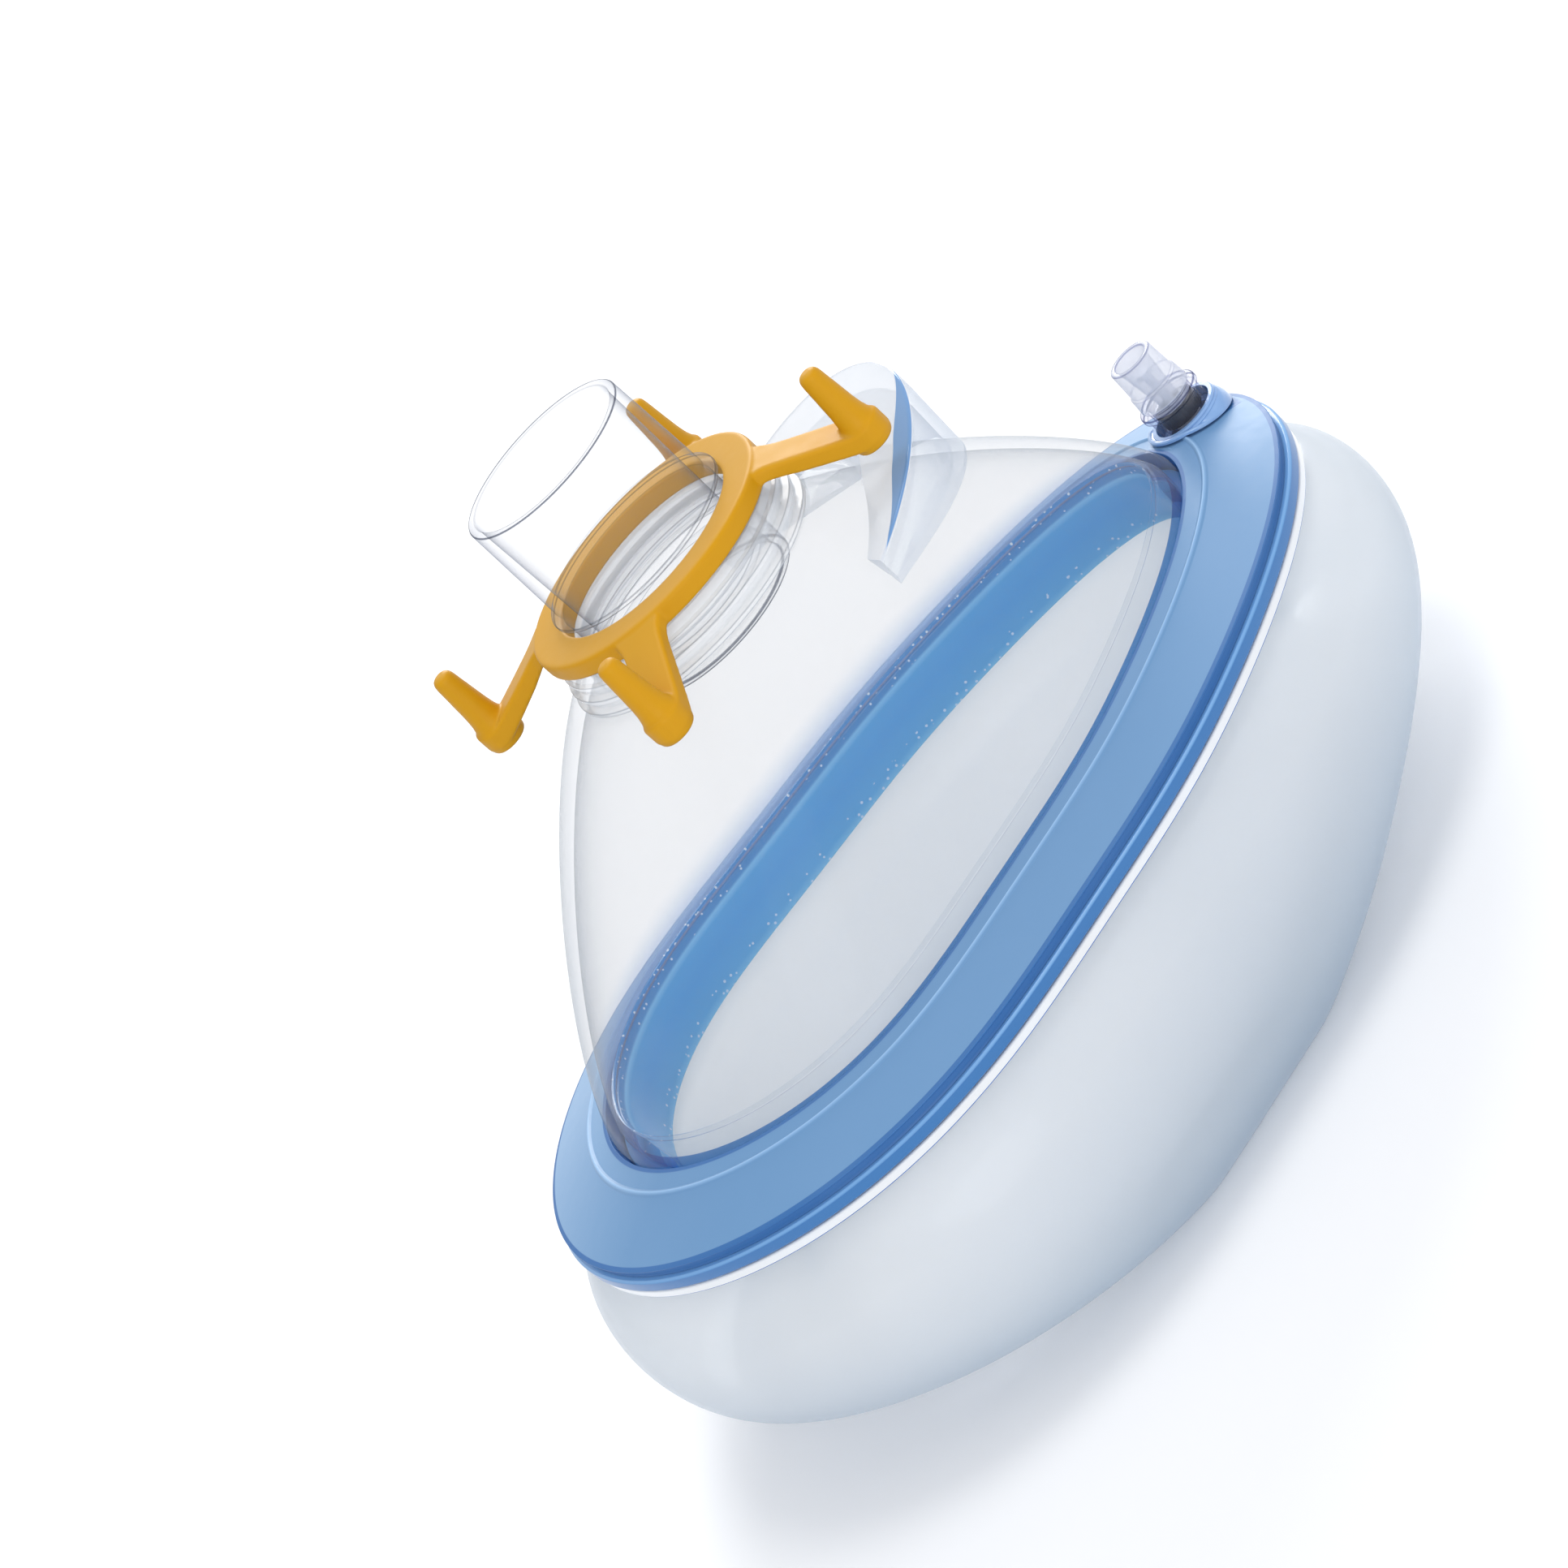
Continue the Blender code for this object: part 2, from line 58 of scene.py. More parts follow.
CU_FLAT_X, CU_FLAT, CU_UP_N, CU_UP_C, CU_SAG = -4.8 + X0, 11.0, 12.98, 11.15, 0.8
V_X = 62.8
TH_X, TH_Z, TH_A, TH_B, TH_BL, TH_END = 16.2 + X0, 73.4, 25.7, 24.2, 15.0, 14.6
TAN = math.tan(math.radians(15.5))
SEG = 240


# ------------------------------------------------------------------ mesh helpers
def to_object(name, verts, faces, edge=None, sharp=38, extra=None):
    me = bpy.data.meshes.new(name)
    me.from_pydata([tuple(float(c) * MM for c in v) for v in verts], [], faces)
    for key, val in {"edge": edge, **(extra or {})}.items():
        if val is not None:
            a = me.attributes.new(key, "FLOAT", "POINT")
            a.data.foreach_set("value", np.asarray(val, np.float32))
    bm = bmesh.new()
    bm.from_mesh(me)
    bmesh.ops.recalc_face_normals(bm, faces=bm.faces)
    bm.to_mesh(me)
    bm.free()
    ob = bpy.data.objects.new(name, me)
    bpy.context.scene.collection.objects.link(ob)
    smooth(ob, sharp)
    return ob


def smooth(ob, angle=38):
    ob.data.polygons.foreach_set("use_smooth", [True] * len(ob.data.polygons))
    ob.data.set_sharp_from_angle(angle=math.radians(angle))


def ring_faces(rows, n, closed=True):
    f = []
    for i in range(rows if closed else rows - 1):
        j = (i + 1) % rows
        f += [(i * n + k, i * n + (k + 1) % n, j * n + (k + 1) % n, j * n + k) for k in range(n)]
    return f


def rounded(pts, seg=5):
    """Closed section of (x, y, corner radius, painted dark edge line) with its corners rounded. The edge value marks
    painted shade standing in for refraction at a corner.
    """
    out, n = [], len(pts)
    for i, (x, y, r, e) in enumerate(pts):
        p, a, b = np.array((x, y)), np.array(pts[i - 1][:2]), np.array(pts[(i + 1) % n][:2])
        if r <= 0:
            out.append((x, y, e))
            continue
        u, v = a - p, b - p
        lu, lv = np.hypot(*u), np.hypot(*v)
        u, v = u / lu, v / lv
        half = math.acos(float(np.clip(u @ v, -1, 1))) / 2
        if half > math.pi / 2 - 0.02:
            out.append((x, y, e))
            continue
        d = min(r / math.tan(half), 0.45 * lu, 0.45 * lv)
        rr = d * math.tan(half)
        c = p + (u + v) / np.hypot(*(u + v)) * rr / math.sin(half)
        s, t = p + u * d - c, p + v * d - c
        a0, a1 = math.atan2(s[1], s[0]), math.atan2(t[1], t[0])
        da = (a1 - a0 + math.pi) % (2 * math.pi) - math.pi
        for k in range(seg + 1):
            q = a0 + da * k / seg
            out.append((c[0] + rr * math.cos(q), c[1] + rr * math.sin(q), e * math.sin(math.pi * k / seg) ** 0.5 if 0 < k < seg else 0.0))
    return out


def lathe(name, pts, cx, n=144, seg=5, sharp=38):
    """Section of (r, z, corner radius, painted dark edge line) turned about the vertical at (cx, 0)."""
    prof = rounded(pts, seg)
    a = np.arange(n) * 2 * math.pi / n
    v = [(cx + r * math.cos(t), r * math.sin(t), z) for r, z, _ in prof for t in a]
    return to_object(name, v, ring_faces(len(prof), n), np.repeat([e for _, _, e in prof], n), sharp)


def turned(name, prof, cx, cy, n=48):
    """Solid turned about the vertical at (cx, cy), capped at both ends."""
    a = np.arange(n) * 2 * math.pi / n
    v = [(cx + r * math.cos(t), cy + r * math.sin(t), z) for r, z in prof for t in a]
    f = ring_faces(len(prof), n, False)
    f += [tuple(reversed(range(n))), tuple((len(prof) - 1) * n + k for k in range(n))]
    return to_object(name, v, f)


def applied(ob):
    me = bpy.data.meshes.new_from_object(ob.evaluated_get(bpy.context.evaluated_depsgraph_get()))
    ob.modifiers.clear()
    old, ob.data = ob.data, me
    me.name = ob.name
    bpy.data.meshes.remove(old)
    return ob


def boolean(ob, cutter, op="DIFFERENCE"):
    md = ob.modifiers.new("b", "BOOLEAN")
    md.operation, md.solver, md.object = op, "EXACT", cutter
    applied(ob)
    bpy.data.objects.remove(cutter, do_unlink=True)
    return ob


# ------------------------------------------------------------------ rim outline
def radius(t):
    return sum(c * np.cos(k * t) for k, c in enumerate(RIM))


def outline(n):
    t = np.linspace(0, 2 * np.pi, 5761)
    r = radius(t)
    x, y = r * np.cos(t), r * np.sin(t)
    dx, dy = np.gradient(x, t), np.gradient(y, t)
    bend = np.abs(dx * np.gradient(dy, t) - dy * np.gradient(dx, t)) / np.hypot(dx, dy) ** 3
    w = np.sqrt(0.5 * (bend[1:] + bend[:-1]) + 0.01)
    s = np.concatenate([[0], np.cumsum(np.hypot(np.diff(x), np.diff(y)) * w)])
    ts = np.interp(np.arange(n) * s[-1] / n, s, t)
    r = radius(ts)
    dr = sum(-k * c * np.sin(k * ts) for k, c in enumerate(RIM))
    x, y = r * np.cos(ts), r * np.sin(ts)
    tx, ty = dr * np.cos(ts) - y, dr * np.sin(ts) + x
    l = np.hypot(tx, ty)
    return np.stack([x, y], 1), np.stack([ty / l, -tx / l], 1), BOW * (x / 60.0) ** 2


P, N, B = outline(SEG)
PXF = PORT_X - X0


def rim_body(name, pts, seg=5, sharp=38):
    """Section of (offset, z, corner radius, painted dark edge line) carried round the rim."""
    sec = rounded(pts, seg)
    v, e, hh, oo = [], [], [], []
    for off, z, ed in sec:
        q = P + N * off
        v += [(q[i, 0] + X0, q[i, 1], z + B[i]) for i in range(SEG)]
        e += [ed] * SEG
        hh += [z] * SEG
        oo += [off] * SEG
    return to_object(name, v, ring_faces(len(sec), SEG), e, sharp, {"high": hh, "off": oo})


# ------------------------------------------------------------------ node helpers
class Mat:
    def __init__(self, name):
        self.m = bpy.data.materials.new(name)
        self.m.use_nodes = True
        self.nt = self.m.node_tree
        self.nt.nodes.clear()
        self.out = self.nt.nodes.new("ShaderNodeOutputMaterial")

    def n(self, kind, ins=None, **props):
        nd = self.nt.nodes.new("ShaderNode" + kind)
        for k, v in props.items():
            setattr(nd, k, v)
        for k, v in (ins or {}).items():
            sock = nd.inputs[k]
            if isinstance(v, bpy.types.NodeSocket):
                self.nt.links.new(v, sock)
            else:
                sock.default_value = v
        return nd

    def attr(self, name):
        return self.n("Attribute", attribute_name=name).outputs["Fac"]

    def math(self, op, a, b=0.0, clamp=False):
        return self.n("Math", {0: a, 1: b}, operation=op, use_clamp=clamp).outputs[0]

    def ramp(self, fac, stops):
        nd = self.n("ValToRGB", {"Fac": fac})
        el = nd.color_ramp.elements
        while len(el) > 1:
            el.remove(el[-1])
        el[0].position, el[0].color = stops[0][0], rgba(stops[0][1])
        for p, c in stops[1:]:
            e = el.new(p)
            e.color = rgba(c)
        return nd.outputs["Color"]

    def mix(self, fac, a, b):
        nd = self.n("Mix", {0: fac}, data_type="RGBA")
        for i, v in ((6, a), (7, b)):
            if isinstance(v, bpy.types.NodeSocket):
                self.nt.links.new(v, nd.inputs[i])
            else:
                nd.inputs[i].default_value = rgba(v)
        return nd.outputs[2]

    def noise(self, scale, detail=2.0, rough=0.5, vec=None, stretch=None):
        co = self.n("TexCoord").outputs["Object"]
        if stretch:
            co = self.n("Mapping", {"Vector": co, "Scale": stretch}).outputs[0]
        return self.n("TexNoise", {"Vector": co, "Scale": scale, "Detail": detail, "Roughness": rough}).outputs["Fac"]

    def dots(self, scale, size):
        co = self.n("TexCoord").outputs["Object"]
        d = self.n("TexVoronoi", {"Vector": co, "Scale": scale, "Randomness": 1.0}).outputs["Distance"]
        return self.math("LESS_THAN", d, size)

    def bump(self, height, strength, dist=0.0002):
        return self.n("Bump", {"Height": height, "Strength": strength, "Distance": dist}).outputs["Normal"]

    def done(self, shader):
        self.nt.links.new(shader, self.out.inputs["Surface"])
        return self.m


def rgba(c):
    if isinstance(c, (int, float)):
        return (c, c, c, 1.0)
    return (*c, 1.0) if len(c) == 3 else tuple(c)


def lin(h):
    """Linear colour of an sRGB hex such as 7fa6d6."""
    out = []
    for i in (0, 2, 4):
        c = int(h[i:i + 2], 16) / 255
        out.append(c / 12.92 if c <= 0.04045 else ((c + 0.055) / 1.055) ** 2.4)
    return tuple(out)


def clear(name, face="fdfdfe", edge="9aa7b4", dark="46597c", power=3.0, haze=0.05, haze_hex="f2f5f8", rough=0.05,
          shine=0.5, tint=None, grain=0.0, mask=None, solidity=0.55, milk=None, milk_hex="f4f6f8"):
    """Clear moulded plastic: light passes almost freely face on; where the wall is seen edge on, and along its marked
    corner lines, the see-through colour is painted darker as painted shade standing in for refraction, with a clear
    gloss.
    """
    m = Mat(name)
    facing = m.n("LayerWeight", {"Blend": 0.5}).outputs["Facing"]
    f = m.math("POWER", facing, power)
    cloud = m.noise(60.0, 3.0)
    # painted shade: the see-through colour darkens towards grazing view and along the painted dark edge lines, standing
    # in for refraction
    through = m.mix(f, lin(face), lin(edge))
    through = m.mix(m.math("MULTIPLY", m.attr("edge"), 0.85), through, dark(m) if callable(dark) else lin(dark))
    if tint:
        where = mask(m) if mask else m.attr("tint")
        through = m.mix(where, through, lin(tint))
    see = m.n("BsdfTransparent", {"Color": through}).outputs[0]
    body = m.mix(cloud, lin(haze_hex), lin("dfe6ee"))
    if milk:
        cloudy = milk(m)
        body = m.mix(cloudy, body, lin(milk_hex))
    if tint:
        body = m.mix(where, body, lin(tint))
    ins = {"Base Color": body, "Roughness": rough, "IOR": 1.48}
    if grain:
        ins["Normal"] = m.bump(m.noise(900.0, 2.0), grain)
    pr = m.n("BsdfPrincipled", ins).outputs[0]
    fres = m.math("ADD", m.math("MULTIPLY", m.math("POWER", facing, 5.0), 0.96), 0.04)
    fac = m.math("ADD", m.math("MULTIPLY", fres, shine), haze, True)
    fac = m.math("ADD", fac, m.math("MULTIPLY", cloud, haze * 0.5), True)
    if milk:
        fac = m.math("ADD", fac, cloudy, True)
    if tint:
        fac = m.math("ADD", fac, m.math("MULTIPLY", where, solidity), True)
    return m.done(m.n("MixShader", {0: fac, 1: see, 2: pr}).outputs[0])


def solid(name, colour, rough=0.35, shade=None, bump=0.02, bump_scale=1400.0, var=0.12, coat=0.0, sss=0.0, ior=1.46, spec=0.5):
    """Opaque soft moulded plastic with faint cloudy colour and a fine satin surface. colour is a hex or a socket maker."""
    m = Mat(name)
    base = colour(m) if callable(colour) else lin(colour)
    light = m.noise(45.0, 3.0)
    c = m.mix(m.math("MULTIPLY", light, var), base, lin(shade or "ffffff"))
    rn = m.noise(500.0, 3.0)
    r = m.n("MapRange", {"Value": rn, "To Min": rough * 0.85, "To Max": rough * 1.15}).outputs[0]
    ins = {"Base Color": c, "Roughness": r, "IOR": ior, "Specular IOR Level": spec, "Normal": m.bump(m.noise(bump_scale, 4.0), bump)}
    if coat:
        ins["Coat Weight"] = coat
        ins["Coat Roughness"] = 0.12
    if sss:
        ins["Subsurface Weight"] = sss
        ins["Subsurface Radius"] = (1.0, 0.6, 0.3)
        ins["Subsurface Scale"] = 0.0012
    return m.done(m.n("BsdfPrincipled", ins).outputs[0])


def dress(ob, mat, body="mask", node=None):
    ob.data.materials.clear()
    ob.data.materials.append(mat)
    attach(ob, body)
    if node:
        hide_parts(node)
    return ob


# ------------------------------------------------------------------ camera, at the photograph's angle
AZ, EL, ROLL, DIST = -0.2302, 0.395, -0.8434, 558.51
target = Vector((-7.3275, 0.0, 56.293))
back = Vector((math.sin(AZ) * math.cos(EL), -math.cos(AZ) * math.cos(EL), math.sin(EL)))
right = Vector((math.cos(AZ), math.sin(AZ), 0.0))
up = back.cross(right)
r2 = right * math.cos(ROLL) + up * math.sin(ROLL)
u2 = up * math.cos(ROLL) - right * math.sin(ROLL)
cam_data = bpy.data.cameras.new("camera")
cam_data.lens, cam_data.sensor_width, cam_data.sensor_fit = 105.65, 36.0, "HORIZONTAL"
cam_data.clip_start, cam_data.clip_end = 0.02, 60.0
cam = bpy.data.objects.new("camera", cam_data)
bpy.context.scene.collection.objects.link(cam)
place = Matrix((r2, u2, back)).transposed().to_4x4()
place.translation = (target + back * DIST) * MM
cam.matrix_world = place
bpy.context.scene.camera = cam
bpy.context.scene.view_settings.view_transform = "Standard"
bpy.context.scene.cycles.transparent_max_bounces = 48      # the mask is many clear walls deep

# ------------------------------------------------------------------ dome with stepped neck
def dome_rings(off, z0, z1, rt, r_end, count, grow=0.0):
    b = P + N * (off + grow)
    ang = np.arctan2(b[:, 1], b[:, 0] - PXF)
    cs = np.cos(ang)
    nc, nn, ns = DOME_EXP
    ex = ns + np.where(cs > 0, (nn - ns) * cs ** 2, (nc - ns) * cs ** 2)
    far = np.hypot(b[:, 0] - PXF, b[:, 1])
    xe = np.clip((r_end - rt) / (far - rt), 0, 1)
    te = np.arccos(xe ** (ex / 2))
    rings = []
    for i in range(count):
        t = te * i / (count - 1)
        xf = np.clip(np.cos(t), 0, 1) ** (2 / ex)
        zf = np.sin(t) ** (2 / ex)
        r = rt + (far - rt) * xf
        z = (z0 + B) + (z1 - z0 - B) * zf
        rings.append(np.stack([PORT_X + r * np.cos(ang), r * np.sin(ang), z], 1))
    return rings, ang


def turned_rings(ang, prof):
    return [np.stack([PORT_X + r * np.cos(ang), r * np.sin(ang), np.full_like(ang, z)], 1) for r, z in prof]


outer, ANG = dome_rings(DOME_OFF, DOME_Z0, DOME_Z1, DOME_RT, 18.25, 46)
for i in range(1, 6):
    outer[-i][:, 2] = np.minimum(outer[-i][:, 2], 80.35)
inner, _ = dome_rings(DOME_OFF - DOME_T, DOME_Z0, DOME_Z1 - 1.6, DOME_RT - 1.37, DOME_RT - 1.37, 40)
foot_o, foot_i = outer[0].copy(), inner[0].copy()
foot_o[:, 2] = 38.25 + B
foot_i[:, 2] = 38.25 + B
neck_pts = rounded([(18.6, 80.7, 0, 0), (19.0, 80.75, 0.12, 0.3), (19.0, 81.35, 0.2, 0.9), (17.9, 81.7, 0.25, 0.2), (18.5, 82.6, 0.12, 0.2), (18.5, 83.15, 0.2, 0.9),
                    (17.5, 83.5, 0.25, 0.2), (17.9, 84.4, 0.12, 0.2), (17.9, 84.9, 0.15, 0.8), (NECK_R, 85.15, 0.1, 0.2),
                    (NECK_R, 86.5, 0.25, 0.5), (12.9, 86.5, 0.2, 0.3), (12.9, 84.95, 0, 0), (15.4, 84.95, 0, 0)], 4)
rings = [foot_o] + outer + turned_rings(ANG, [(r, z) for r, z, _ in neck_pts]) + inner[::-1] + [foot_i]
edges = [0.0] * (1 + len(outer)) + [e for _, _, e in neck_pts] + [0.0] * (len(inner) + 1)
edge = np.repeat(edges, SEG)
allv = np.concatenate(rings)
# the wall near its foot is painted with the blue of the rim it is bonded to, a painted reflection of the rim
low = allv[:, 2] - np.tile(B, len(rings))
is_in = np.repeat([0.0] * (1 + len(outer) + len(neck_pts)) + [1.0] * (len(inner) + 1), SEG)
foot_painted_blue_reflection = np.clip((47.4 - low) / 5.0, 0, 1) ** 1.5 * np.where(is_in > 0, 0.75, 0.0)
neck_row = [0.0] * (1 + len(outer)) + [1.0] * len(neck_pts) + [0.0] * (len(inner) + 1)
dome = to_object("dome", allv, ring_faces(len(rings), SEG), edge, 45, {"tint": foot_painted_blue_reflection, "neck": np.repeat(neck_row, SEG)})


def painted_reflection_inside_face(m):
    """The painted blue reflection of the rim shows on the wall's inner face, and not through the wall from outside."""
    return m.math("MULTIPLY", m.attr("tint"), m.math("SUBTRACT", 1.0, m.n("NewGeometry").outputs["Backfacing"]))


# tint 86b0e4 is the painted blue reflection of the rim on the inner face near the foot
dress(dome, clear("clear_dome_look", face="f8f8f8", edge="c2c6ca", dark=lambda m: m.mix(m.attr("neck"), lin("8ab2e4"), lin("74808e")), power=5.5, haze=0.03, shine=0.35, tint="86b0e4", mask=painted_reflection_inside_face, solidity=0.4,
                  milk=lambda m: m.math("MULTIPLY", m.attr("neck"), 0.3), milk_hex="fbfbfa"),
      node="dome_shell")

# ------------------------------------------------------------------ 22 mm port
port = lathe("port", [(PORT_R, PORT_TOP, 0.22, 1.0), (12.6, 91.5, 0, 0), (13.75, 90.75, 0.3, 0.5), (13.75, 90.25, 0.2, 0.6), (12.6, 89.8, 0.15, 0.3),
                      (12.6, 84.65, 0, 0), (15.05, 84.65, 0.1, 0.3), (15.05, 83.1, 0.2, 0.5), (12.7, 82.6, 0.2, 0.4), (12.5, 76.6, 0.35, 1), (11.2, 76.6, 0.35, 1),
                      (11.0, 80.2, 0.2, 0.6), (10.3, 80.6, 0.15, 1), (10.3, 81.6, 0.3, 1), (10.75, 84.0, 0.8, 0.2), (PORT_RI, PORT_TOP, 0.2, 0.35)], PORT_X, 200, 6)
dress(port, clear("clear_port_look", face="fdfdfd", edge="8f95a4", dark="2c3a58", power=5.0, haze=0.012, shine=0.25), node="port_connector")

# ------------------------------------------------------------------ amber strap-hook ring, one moulding with soft corners
ring = lathe("strap_hook_ring", [(RING_RO, RING_Z1, 0.45, 0), (RING_RO, RING_Z0, 0.4, 0), (RING_RI, RING_Z0, 0.25, 0), (RING_RI, RING_Z1, 0.25, 0)], PORT_X, 160, 3)


def amber_with_painted_top_light(m):
    """Amber, painted paler where it faces up as painted top light and sheen, and deeper where it turns away from view.
    """
    c = m.mix(m.math("POWER", m.n("LayerWeight", {"Blend": 0.4}).outputs["Facing"], 2.0), lin("cb9204"), lin("ad7a00"))
    # painted light: surfaces facing up are mixed towards the paler cfa040
    z = m.n("SeparateXYZ", {"Vector": m.n("NewGeometry").outputs["Normal"]}).outputs["Z"]
    return m.mix(m.n("MapRange", {"Value": z, "From Min": 0.55, "From Max": 0.95, "To Min": 0.0, "To Max": 0.45}).outputs[0], c, lin("cfa040"))


def hook_arm(k):
    t = math.radians(HOOK_ANGLE + 90.0 * k)
    d = Vector((math.cos(t), math.sin(t), 0))
    s = Vector((-d.y, d.x, 0))
    o = Vector((PORT_X, 0, 0))
    st = [(15.6, 3.9, 89.0, 87.15), (17.6, 3.8, 89.0, 87.05), (18.6, 3.35, 88.9, 86.85), (19.5, 3.0, 88.5, 86.3), (20.6, 2.85, 88.0, 85.7),
          (22.0, 2.8, 87.4, 84.95), (25.2, 2.8, 86.1, 83.5), (28.6, 2.8, 84.75, 82.0), (29.6, 2.8, 84.4, 81.6), (HOOK_R, 2.8, HEEL_TOP, HEEL_BOT)]
    for i in range(1, 8):
        a = i * math.pi / 2 / 8
        st.append((HOOK_R + 2.8 * math.sin(a), 2.8 * math.cos(a), HEEL_TOP + 0.12 * math.sin(a), HEEL_BOT + 0.1 * (1 - math.cos(a))))
    e, v, n = 0.35, [], 8
    for dist, hw, zt, zb in st:
        b = min(e, hw * 0.6)
        for u, z in [(-hw, zb + e), (-hw + b, zb), (hw - b, zb), (hw, zb + e), (hw, zt - e), (hw - b, zt), (-hw + b, zt), (-hw, zt - e)]:
            v.append(tuple(o + d * dist + s * u + Vector((0, 0, z))))
    m = len(st)
    f = ring_faces(m, n, False) + [tuple(reversed(range(n))), tuple((m - 1) * n + j for j in range(n))]
    return to_object("arm", v, f)


for k in range(4):
    t = math.radians(HOOK_ANGLE + 90.0 * k)
    boolean(ring, hook_arm(k), "UNION")
    peg = [(2.45, HEEL_TOP - 1.2), (2.5, HEEL_TOP - 0.1), (2.3, HEEL_TOP + 0.5), (2.08, HEEL_TOP + 1.3), (1.9, HEEL_TOP + 2.6), (1.5, PEG_TOP - 1.3), (1.42, PEG_TOP - 0.7),
           (1.15, PEG_TOP - 0.25), (0.7, PEG_TOP - 0.02)]
    boolean(ring, turned("peg", peg, PORT_X + HOOK_R * math.cos(t), HOOK_R * math.sin(t), 40), "UNION")
    stub = [(1.5, HEEL_BOT - 0.78), (2.1, HEEL_BOT - 0.7), (2.5, HEEL_BOT - 0.4), (2.62, HEEL_BOT - 0.05), (2.62, HEEL_BOT + 1.0)]
    boolean(ring, turned("stub", stub, PORT_X + HOOK_R * math.cos(t), HOOK_R * math.sin(t), 40), "UNION")
md = ring.modifiers.new("skin", "REMESH")
md.mode, md.voxel_size = "VOXEL", 0.00022
md = ring.modifiers.new("soft", "SMOOTH")
md.factor, md.iterations = 0.6, 3
applied(ring)
smooth(ring, 180)
dress(ring, solid("amber_look", amber_with_painted_top_light,
                  0.48, "d9a220", 0.03, 2200.0, 0.25, sss=0.08, ior=1.38, spec=0.32), "strap_ring", "hook_ring")

# ------------------------------------------------------------------ thumb rest: sloping plate with a blue cast in its nose-side edge
def oval(a, b, b_low, z_low, drops, n=176):
    """Oval plug with a sloping top; its side draws in sideways to half width b_low at z_low."""
    ang = np.arange(n) * 2 * math.pi / n
    v = [(TH_X + a * math.cos(t), b_low * math.sin(t), z_low) for t in ang]
    for inset, down in drops:
        for t in ang:
            x = TH_X + (a - inset) * math.cos(t)
            v.append((x, (b - inset) * math.sin(t), TH_Z + TAN * (x - TH_X) - down))
    m = 1 + len(drops)
    f = ring_faces(m, n, False) + [tuple(reversed(range(n))), tuple((m - 1) * n + k for k in range(n))]
    return to_object("oval", v, f)


thumb = oval(TH_A, TH_B, TH_BL, 60.0, [(0, 3.0), (0, 2.0), (0, 1.0), (0, 0.45), (0.05, 0.25), (0.15, 0.1), (0.35, 0.0), (0.6, 0.0), (1.2, 0.0), (2.0, 0.0), (2.8, 0.0), (3.6, 0.0),
                                       (5.0, 0.0), (9.0, 0.0)])
thumb.name = "thumb_plate"
boolean(thumb, oval(TH_A - 1.5, TH_B - 1.5, TH_BL - 1.6, 58.5, [(0, 3.6), (0, 3.0), (0.3, 2.6)]))
bv = [(x, y, z) for z in (20.0, 110.0) for x, y in ((-80.0, -60.0), (TH_END, -60.0), (TH_END, 60.0), (-80.0, 60.0))]
boolean(thumb, to_object("end_block", bv, [(3, 2, 1, 0), (4, 5, 6, 7), (0, 1, 5, 4), (1, 2, 6, 5), (2, 3, 7, 6), (3, 0, 4, 7)]))
skin, sang = dome_rings(DOME_OFF, DOME_Z0, DOME_Z1 + GAP, DOME_RT + GAP, 19.3, 40, grow=GAP)
skin += turned_rings(sang, [(19.3, 84.0), (19.3, 120.0)])
base = skin[0].copy()
base[:, 2] = 30.0
skin = [base] + skin
m_ = len(skin)
block = to_object("block", np.concatenate(skin), ring_faces(m_, SEG, False) + [tuple(reversed(range(SEG))), tuple((m_ - 1) * SEG + k for k in range(SEG))])
boolean(thumb, block)
co = np.array([v.co for v in thumb.data.vertices]) / MM
down = TH_Z + TAN * (co[:, 0] - TH_X) - co[:, 2]
rad = np.hypot((co[:, 0] - TH_X) / TH_A, co[:, 1] / TH_B)
phi = np.degrees(np.arctan2(co[:, 1] / TH_B, (co[:, 0] - TH_X) / TH_A))
rim = np.where(down < 0.3, (1.0 - rad) * TH_B, 9.0)
# the edge attribute paints a dark line round the plate's rim, painted shade standing in for refraction
for nm_, val in (("down", down), ("phi", phi), ("rim", rim),
                 ("edge", np.where((rad > 0.97) & (down < 0.35) & (down > 0.02), 0.4, 0.0))):
    at = thumb.data.attributes.new(nm_, "FLOAT", "POINT")
    at.data.foreach_set("value", val.astype(np.float32))


def blue_wedge(m):
    """Blue crescent along the plate's edge on its nose side, up to 3.2 mm wide, that runs to a point at each end."""
    phi_, away = m.attr("phi"), m.attr("rim")
    u = m.n("MapRange", {"Value": phi_, "From Min": -88.0, "From Max": -13.0, "To Min": 0.0, "To Max": 1.0}).outputs[0]
    a = m.n("MapRange", {"Value": u, "From Min": 0.0, "From Max": 0.45, "To Min": 0.0, "To Max": 1.0}, interpolation_type="SMOOTHSTEP").outputs[0]
    b = m.n("MapRange", {"Value": u, "From Min": 1.0, "From Max": 0.55, "To Min": 0.0, "To Max": 1.0}, interpolation_type="SMOOTHSTEP").outputs[0]
    lim = m.math("MULTIPLY", m.math("MINIMUM", a, b), 3.3)
    return m.n("MapRange", {"Value": m.math("SUBTRACT", lim, away), "From Min": -0.02, "From Max": 0.12}).outputs[0]


smooth(thumb, 35)
dress(thumb, clear("clear_thumb_look", face="fcfdfe", edge="c4ccd8", dark="8494b8", power=4.0, haze=0.03, shine=0.35, haze_hex="f4f6f9", tint="6c96c8", mask=blue_wedge, solidity=0.8,
                   milk=lambda m: m.math("ADD", m.math("MULTIPLY", m.math("LESS_THAN", m.attr("rim"), 8.9), 0.3), 0.16), milk_hex="e4e8ee"),
      node="thumb_rest")


